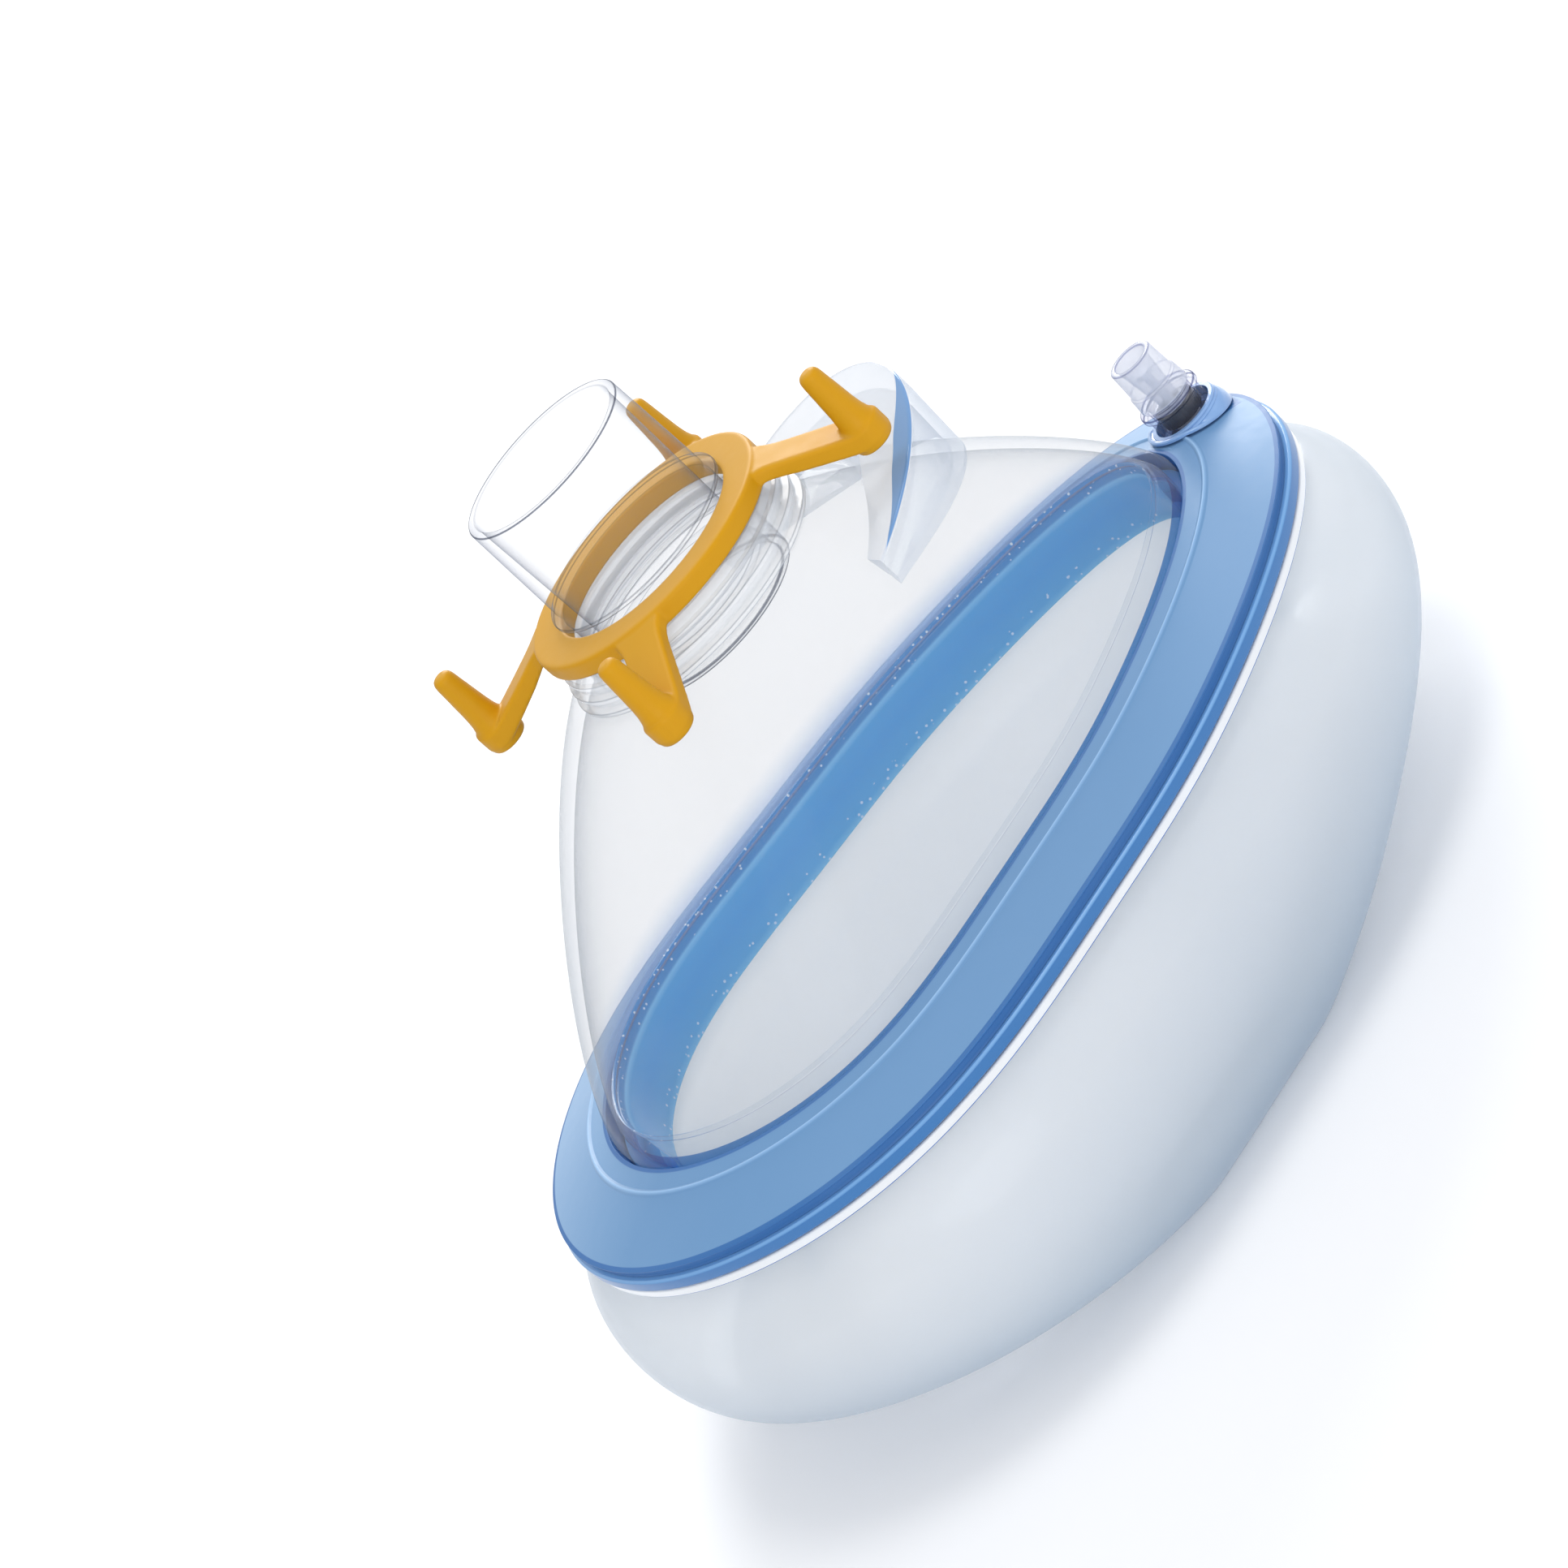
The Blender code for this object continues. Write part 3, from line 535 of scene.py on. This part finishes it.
# ------------------------------------------------------------------ blue rim
def flange_colour(m):
    """Light blue top with a painted highlight along the ridge line, painted lighter towards the far side, a dark line
    at the inner edge, and a turned-down side painted darker as shade.
    """
    off, high = m.attr("off"), m.attr("high")
    # painted shade on the turned-down outer side
    side_shade = m.n("MapRange", {"Value": off, "From Min": -0.66, "From Max": -0.56}).outputs[0]
    inner = m.n("MapRange", {"Value": off, "From Min": -12.02, "From Max": -12.12}).outputs[0]
    # painted highlight along the ridge crest
    crest_highlight = m.math("SUBTRACT", 1.0, m.math("MULTIPLY", m.math("ABSOLUTE", m.math("ADD", off, 9.35)), 3.2), True)
    # painted light: the top is painted lighter towards the far (+Y) side
    y = m.n("SeparateXYZ", {"Vector": m.n("TexCoord").outputs["Object"]}).outputs["Y"]
    far = m.n("MapRange", {"Value": y, "From Min": -0.008, "From Max": 0.03, "To Min": 0.0, "To Max": 0.6}).outputs[0]
    c = m.mix(far, lin("6490bc"), lin("a3c2e2"))
    c = m.mix(m.math("MULTIPLY", crest_highlight, 0.8), c, lin("a2c8ee"))
    c = m.mix(inner, c, lin("2f66a6"))
    return m.mix(m.math("MULTIPLY", side_shade, m.math("GREATER_THAN", m.attr("off"), -0.7)), c, lin("1f61a2"))


sec = [(-0.3, 36.15, 0.0, 0), (-0.42, 36.4, 0.15, 0), (-0.38, 37.1, 0.1, 0), (-0.02, 37.32, 0.08, 0), (0.0, 37.5, 0.12, 0), (-0.45, FT, 0.1, 0), (-0.7, FT + 0.08, 0, 0), (-4.5, FT + 1.32, 0, 0),
       (-8.9, FT + 2.68, 0.3, 0), (-9.35, FT + 3.18, 0.2, 0), (-9.85, FT + 2.9, 0.2, 0), (-12.0, FT + 3.18, 0.1, 0), (-12.12, FT + 3.2, 0.0, 0), (-12.65, FT + 3.25, 0.1, 0),
       (-12.65, 36.4, 0, 0)]
flange = rim_body("rim_flange", sec)


def valve_hole(ob, r, z0, z1):
    keep = ob.name
    boolean(ob, turned("bore", [(r, z0), (r, z1)], V_X, 0, 56))
    ob.name = keep
    smooth(ob)


valve_hole(flange, 4.25, 25.0, 60.0)
valve_hole(flange, 5.0, 40.3, 60.0)
dress(flange, solid("flange_look", flange_colour, 0.45, "86a8cf", 0.03, 1500.0, 0.2, ior=1.38), node="flange_ring")

backing = rim_body("rim_backing", [(0.2, 36.1, 0.15, 0), (0.54, 35.85, 0.2, 0), (0.54, 34.3, 0.3, 0), (-12.65, 34.3, 0, 0), (-12.65, 36.1, 0, 0)])
valve_hole(backing, 4.25, 25.0, 60.0)
# painted highlight: the top chamfer above 35.75 mm is painted the lighter 76a9dc
dress(backing, solid("backing_look", lambda m: m.mix(m.n("MapRange", {"Value": m.attr("high"), "From Min": 35.75, "From Max": 35.95}).outputs[0], lin("2a6cab"), lin("76a9dc")),
                     0.3, "4f8fc8", 0.02, 1500.0, 0.2, coat=0.2), node="backing_ring")

skirt = rim_body("inner_wall", [(-14.75, 40.95, 0, 0), (-15.3, 42.1, 0.15, 0), (-16.1, 42.15, 0.3, 0), (-16.5, 32.6, 0.35, 0), (-15.4, 32.6, 0.2, 0),
                                (-15.2, 34.3, 0, 0), (-12.95, 34.3, 0, 0), (-12.95, 37.95, 0, 0), (-14.75, 37.95, 0, 0)])


def skirt_colour(m):
    h = m.n("MapRange", {"Value": m.attr("high"), "From Min": 32.6, "From Max": 42.2}).outputs[0]
    c = m.ramp(h, [(0.0, lin("6cc0ee")), (0.12, lin("34a2e0")), (0.5, lin("1698e0")), (0.78, lin("269ee2")), (0.86, lin("74c2f4")), (0.9, lin("1284cc")), (1.0, lin("1480c6"))])
    band = m.math("MULTIPLY", m.math("GREATER_THAN", h, 0.89), m.dots(1000.0, 0.17))
    c = m.mix(band, c, lin("c9dcf2"))
    low = m.math("MULTIPLY", m.math("LESS_THAN", h, 0.2), m.dots(1000.0, 0.2))
    c = m.mix(low, c, lin("b9d6f2"))
    return c


def from_outside(m, name, paint, upper, tint, rough, coat):
    """Blue when its inner side is seen; from outside the part that stands above the rim is clear, with a blue line low down."""
    base = paint(m)
    pr = m.n("BsdfPrincipled", {"Base Color": base, "Roughness": rough, "IOR": 1.46, "Coat Weight": coat, "Coat Roughness": 0.12,
                                "Normal": m.bump(m.noise(900.0, 4.0), 0.04)}).outputs[0]
    outer_face = m.n("MapRange", {"Value": m.attr("off"), "From Min": -15.95, "From Max": -15.75}).outputs[0]
    raised = m.math("GREATER_THAN", m.attr("high"), upper)
    deep = m.math("MULTIPLY", outer_face, m.math("SUBTRACT", 1.0, raised))
    behind = m.math("MULTIPLY", m.n("NewGeometry").outputs["Backfacing"], m.math("SUBTRACT", 1.0, deep))
    open_ = m.math("MAXIMUM", m.math("MULTIPLY", outer_face, raised), behind)
    front = m.math("SUBTRACT", 1.0, m.n("NewGeometry").outputs["Backfacing"])
    line = m.math("MULTIPLY", m.math("MULTIPLY", outer_face, front), m.math("LESS_THAN", m.attr("high"), 40.35))
    see = m.n("BsdfTransparent", {"Color": m.mix(line, lin("fafbfc"), lin(tint))}).outputs[0]
    gloss = m.n("BsdfGlossy", {"Color": (1, 1, 1, 1), "Roughness": 0.15}).outputs[0]
    facing = m.n("LayerWeight", {"Blend": 0.5}).outputs["Facing"]
    sheen = m.math("ADD", m.math("MULTIPLY", m.math("POWER", facing, 5.0), 0.4), 0.03)
    see = m.n("MixShader", {0: m.math("MULTIPLY", sheen, front), 1: see, 2: gloss}).outputs[0]
    return m.done(m.n("MixShader", {0: open_, 1: pr, 2: see}).outputs[0])


dress(skirt, from_outside(Mat("inner_wall_look"), "skirt", skirt_colour, 38.0, "5a94d0", 0.25, 0.3), node="inner_skirt")

bead = rim_body("bond_line", [(-15.45, 42.45, 0.08, 0), (-16.1, 42.5, 0.1, 0), (-16.05, 42.85, 0.1, 0), (-15.75, 43.05, 0.1, 0)], 4)
dress(bead, from_outside(Mat("bond_look"), "bead", lambda m: m.mix(m.dots(1100.0, 0.22), lin("1a84cc"), lin("d6e6f6")), 30.0, "dfe4ea", 0.2, 0.5),
      node="bond_bead")

lip = rim_body("cushion_weld", [(0.3, 32.75, 0.22, 1.0), (0.3, 34.0, 0.3, 0.0), (-5.0, 34.0, 0, 0), (-5.0, 33.1, 0, 0), (-1.4, 33.1, 0, 0), (-1.1, 32.75, 0.1, 0)])
valve_hole(lip, 4.25, 25.0, 60.0)
dress(lip, clear("weld_look", face="f6f9fb", edge="e8eef3", dark="5c8cbc", power=2.0, haze=0.7, haze_hex="ffffff", rough=0.15, tint="1c62b8",
                 mask=lambda m: m.math("GREATER_THAN", m.attr("edge"), 0.5), solidity=0.9), node="cushion_lip")
lip2 = rim_body("cushion_weld_inner", [(-11.2, 33.1, 0, 0), (-11.2, 34.0, 0, 0), (-14.9, 34.0, 0, 0), (-14.9, 33.1, 0.2, 0)])
dress(lip2, clear("weld_inner_look", face="eef3f8", edge="dfe7ee", dark="4c86c4", power=2.0, haze=0.5, rough=0.15), node="inner_lip")


# ------------------------------------------------------------------ inflated cushion
def under(x):
    u = np.maximum(np.abs(x - CU_FLAT_X) - CU_FLAT, 0.0) / 60.0
    k = np.where(x > CU_FLAT_X, CU_UP_N, CU_UP_C)
    return k * (np.sqrt(u * u + 0.05 ** 2) - 0.05) * 1.04


CN = 72
ang = np.arctan2(P[:, 1], P[:, 0])
cs = np.cos(ang)
bulge = CU_S + np.where(cs > 0, (CU_N - CU_S) * cs ** 2, (CU_C - CU_S) * cs ** 2)
zb = under(P[:, 0] + X0) - CU_SAG
zt = LIP_Z + B
rows, rel = [], []
for i in range(CN):
    a = 2 * math.pi * i / CN - math.pi / 2
    a -= 0.12 * math.sin(2 * a)
    c, s = math.cos(a), math.sin(a)
    off = CU_MID + (bulge - CU_MID) * abs(c) ** CU_POW if c >= 0 else CU_MID - CU_IN * abs(c) ** 0.62 + 0 * bulge
    q = P + N * off[:, None]
    z = (zt + zb) / 2 + (zt - zb) / 2 * s
    # the film lies on the surface over a small rounded land instead of a sharp cut
    z = 0.5 * (z + np.sqrt(z * z + 0.15))
    rows.append(np.stack([q[:, 0] + X0, q[:, 1], z], 1))
    rel.append(np.full(SEG, off) if np.ndim(off) == 0 else off)
cv = np.concatenate(rows)
cv[:, 2] -= cv[:, 2].min()
cushion = to_object("air_cushion", cv, ring_faces(CN, SEG), np.zeros(len(cv)), 180, {"rel": np.concatenate(rel)})
bm = bmesh.new()
bm.from_mesh(cushion.data)
gone = [f for f in bm.faces if (f.calc_center_median().xy - Vector((V_X * MM, 0))).length < 4.3 * MM and f.calc_center_median().z > 0.025]
bmesh.ops.delete(bm, geom=gone, context="FACES")
bm.to_mesh(cushion.data)
bm.free()
md = cushion.modifiers.new("film", "SOLIDIFY")
md.thickness, md.offset, md.material_offset = 0.45 * MM, -1.0, 1
cushion.data.materials.append(bpy.data.materials.new("slot_outside"))
cushion.data.materials.append(bpy.data.materials.new("slot_inside"))
applied(cushion)
film_side = [p.material_index for p in cushion.data.polygons]
smooth(cushion, 60)


def film_look():
    """Clear film gone slightly milky: part of the light passes straight, part is scattered through or back. Low down on
    its outer side it is painted darker and cooler, painted shade near the floor.
    """
    m = Mat("film_look")
    facing = m.n("LayerWeight", {"Blend": 0.5}).outputs["Facing"]
    cloud = m.noise(14.0, 2.0, 0.4)
    f = m.math("POWER", facing, 2.2)
    height = m.n("SeparateXYZ", {"Vector": m.n("TexCoord").outputs["Object"]}).outputs["Z"]
    low = m.n("MapRange", {"Value": height, "From Min": 0.025, "From Max": 0.003}).outputs[0]
    c = m.mix(f, lin("fafcfd"), lin("edf1f4"))
    patch = m.n("MapRange", {"Value": cloud, "From Min": 0.42, "From Max": 0.62, "To Min": 0.0, "To Max": 0.45}, interpolation_type="SMOOTHSTEP").outputs[0]
    c = m.mix(patch, c, lin("d8e0e8"))
    # painted shade: darker blue 9bb3ca low down on the film's outer side
    c = m.mix(m.math("MULTIPLY", m.math("MULTIPLY", low, 0.9), m.n("MapRange", {"Value": m.attr("rel"), "From Min": -9.0, "From Max": -2.0}).outputs[0]), c, lin("9bb3ca"))
    see = m.n("BsdfTransparent", {"Color": m.mix(f, lin("fafbfc"), lin("dae3ea"))}).outputs[0]
    pr = m.n("BsdfPrincipled", {"Base Color": c, "Roughness": 0.22, "IOR": 1.45, "Coat Weight": 0.4, "Coat Roughness": 0.08,
                                "Normal": m.bump(m.noise(24.0, 2.0), 0.15, 0.002)}).outputs[0]
    tr = m.n("BsdfTranslucent", {"Color": m.mix(f, lin("fefefe"), lin("dfe7ee"))}).outputs[0]
    body = m.n("MixShader", {0: 0.42, 1: pr, 2: tr}).outputs[0]
    fac = m.n("MapRange", {"Value": f, "To Min": 0.58, "To Max": 0.92}).outputs[0]
    return m.done(m.n("MixShader", {0: fac, 1: see, 2: body}).outputs[0])


dress(cushion, film_look(), node="cushion")
cushion.data.materials.append(clear("film_inside_look", face="fefefe", edge="e8edf1", dark="8aa0b4", power=4.0, haze=0.0, shine=0.12))
for p_, was in zip(cushion.data.polygons, film_side):
    p_.material_index = was


# ------------------------------------------------------------------ inflation valve
def flange_top(x, y):
    t = np.linspace(0, 2 * np.pi, 1441)
    r = radius(t)
    d = np.hypot(r * np.cos(t) + X0 - x, r * np.sin(t) - y)
    i = int(d.argmin())
    bow = BOW * ((r[i] * math.cos(t[i])) / 60.0) ** 2
    return bow + float(np.interp(-float(d[i]), [-12.3, -9.8, -9.15, -4.8, -0.3], [FT + 3.25, FT + 2.95, FT + 2.9, FT + 1.42, FT]))


gn = 84
ga = np.arange(gn) * 2 * math.pi / gn
grow = []


def row(r, z=None, lift=0.0, pick=max):
    out = []
    for t in ga:
        x, y = V_X + r * math.cos(t), r * math.sin(t)
        top = flange_top(x, y) + lift
        out.append([x, y, top if z is None else (z if pick is None else pick(z, top))])
    grow.append(out)


for r, z in ((4.25, 42.85), (4.32, 42.92), (4.85, 42.92), (4.98, 42.8)):
    row(r, z, pick=None)
row(5.0, 42.62, lift=0.5)
row(4.92, 42.5, lift=0.52)
row(5.02, 42.4, lift=0.55)
row(5.14, 42.25, lift=0.6)
row(5.1, 42.1, lift=0.62)
row(5.24, 41.95, lift=0.75)
row(5.45, 41.5, lift=0.74)
row(5.62, 41.0, lift=0.7)
row(5.7, lift=0.6)
row(5.7, lift=0.3)
row(4.7, lift=0.3)
row(4.7, 40.6, lift=0.3, pick=min)
for r, z in ((3.95, 40.6), (3.95, 31.2), (3.35, 31.2), (3.35, 41.05), (4.25, 41.3)):
    row(r, z, pick=None)
gland = to_object("valve_boss", [p for r_ in grow for p in r_], ring_faces(len(grow), gn), None, 40)
dress(gland, solid("boss_look", lambda m: m.mix(m.noise(260.0, 3.0), lin("4c83c6"), lin("8db4e2")), 0.22, "b9d2ef", 0.15, 600.0, 0.3, coat=0.5),
      node="valve_gland")

cup = lathe("valve_body", [(4.45, 45.9, 0.25, 1), (4.45, 45.1, 0.25, 1), (3.95, 44.9, 0.1, 0.6), (3.95, 41.6, 0.1, 0.5), (3.05, 41.35, 0.1, 0.3), (3.05, 25.6, 0.2, 0),
                           (1.9, 25.6, 0.1, 0), (1.9, 26.4, 0.1, 0), (2.45, 26.4, 0.1, 0), (2.45, 42.15, 0.1, 0), (3.25, 42.3, 0.1, 0.5), (3.25, 45.9, 0.2, 1)], V_X, 96, 4)
dress(cup, clear("valve_body_look", face="fafafc", edge="c2c6da", dark="5a6594", power=3.0, haze=0.01, haze_hex="e6e8f0", shine=0.4), node="valve_cup")
inlet = lathe("valve_tube", [(3.15, 53.0, 0.25, 1), (3.35, 48.9, 0.15, 0.7), (3.6, 48.6, 0.15, 0.9), (3.8, 46.2, 0.2, 1), (2.95, 46.2, 0, 0), (2.95, 44.9, 0.1, 0.5), (1.5, 44.9, 0.1, 0.3),
                             (1.5, 46.2, 0.1, 0.4), (2.35, 53.0, 0.25, 1)], V_X, 96, 4)
dress(inlet, clear("valve_tube_look", face="fbfbfd", edge="d0d3e2", dark="4c58a0", power=3.0, haze=0.26, haze_hex="e2e4ee", shine=0.5), node="valve_inlet")

looks = {
    "valve_seal": solid("seal_look", "0c0c18", 0.4, "1c1c30", 0.1, 900.0, 0.5, coat=0.5),
    "valve_plunger": solid("plunger_look", "dcdfe8", 0.3, "f2f4f8", 0.03, 1500.0, 0.3),
    "valve_guide": solid("guide_look", "d3d6e2", 0.4, "eef0f6", 0.03, 1500.0, 0.3),
}
steel = Mat("spring_look")
streak = steel.noise(900.0, 3.0, 0.6, stretch=(1.0, 1.0, 0.1))
looks["valve_spring"] = steel.done(steel.n("BsdfPrincipled", {
    "Base Color": steel.mix(streak, lin("b9bcc4"), lin("8c9098")), "Metallic": 1.0,
    "Roughness": steel.n("MapRange", {"Value": streak, "To Min": 0.22, "To Max": 0.4}).outputs[0]}).outputs[0])
for nm_ in ("valve_seal", "valve_plunger", "valve_guide"):
    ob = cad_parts[nm_]
    ob.data.materials.clear()
    ob.data.materials.append(looks[nm_])

# the spring as a round wire coil of even pitch with capped wire ends, shortened by the plunger
SP_Z0, SP_Z1, SP_R, SP_W, SP_N, SP_C = 31.4, 40.5, 1.65, 0.2, 150, 10
sv = []
for i in range(SP_N + 1):
    u = i / SP_N
    c = Vector((math.cos(u * 10 * math.pi), math.sin(u * 10 * math.pi), 0))
    for j in range(SP_C):
        b_ = 2 * math.pi * j / SP_C
        q = c * (SP_R + SP_W * math.cos(b_)) + Vector((V_X, 0, SP_Z0 + (SP_Z1 - SP_Z0) * u + SP_W * math.sin(b_)))
        sv.append(tuple(q))
sf = ring_faces(SP_N + 1, SP_C, False) + [tuple(reversed(range(SP_C))), tuple(SP_N * SP_C + j for j in range(SP_C))]
coil = to_object("valve_coil", sv, sf, None, 180)
dress(coil, looks["valve_spring"], node="valve_spring")
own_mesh(coil)

# ------------------------------------------------------------------ floor and light
me = bpy.data.meshes.new("floor")
me.from_pydata([(-9, -9, 0), (9, -9, 0), (9, 9, 0), (-9, 9, 0)], [], [(0, 1, 2, 3)])
floor = bpy.data.objects.new("floor", me)
bpy.context.scene.collection.objects.link(floor)
fm = Mat("floor_look")
speck = fm.noise(3.0, 2.0)
me.materials.append(fm.done(fm.n("BsdfPrincipled", {"Base Color": fm.mix(speck, lin("f7f8fa"), lin("f3f4f7")), "Roughness": 0.75,
                                                    "Specular IOR Level": 0.2}).outputs[0]))

world = bpy.data.worlds.new("studio")
bpy.context.scene.world = world
world.use_nodes = True
bg = world.node_tree.nodes["Background"]
bg.inputs["Color"].default_value = (0.97, 0.98, 1.0, 1.0)
bg.inputs["Strength"].default_value = 0.81


def area(name, direction, dist, size, power, colour=(1, 1, 1), aim=(0, 0, 0.05)):
    d = Vector(direction).normalized()
    li = bpy.data.lights.new(name, "AREA")
    li.shape, li.size, li.energy, li.color = "DISK", size, power, colour
    ob = bpy.data.objects.new(name, li)
    ob.location = Vector(aim) + d * dist
    ob.rotation_euler = d.to_track_quat("Z", "Y").to_euler()
    bpy.context.scene.collection.objects.link(ob)
    return ob


area("key", (0.30, 0.05, 1.0), 1.6, 0.7, 6.0, (1.0, 0.98, 0.95))
area("back", (0.62, 0.80, 0.42), 1.6, 0.75, 13.0, (1.0, 0.985, 0.96))
area("front", (-0.35, -0.98, 0.40), 1.6, 1.1, 6.4, (0.98, 0.99, 1.0))
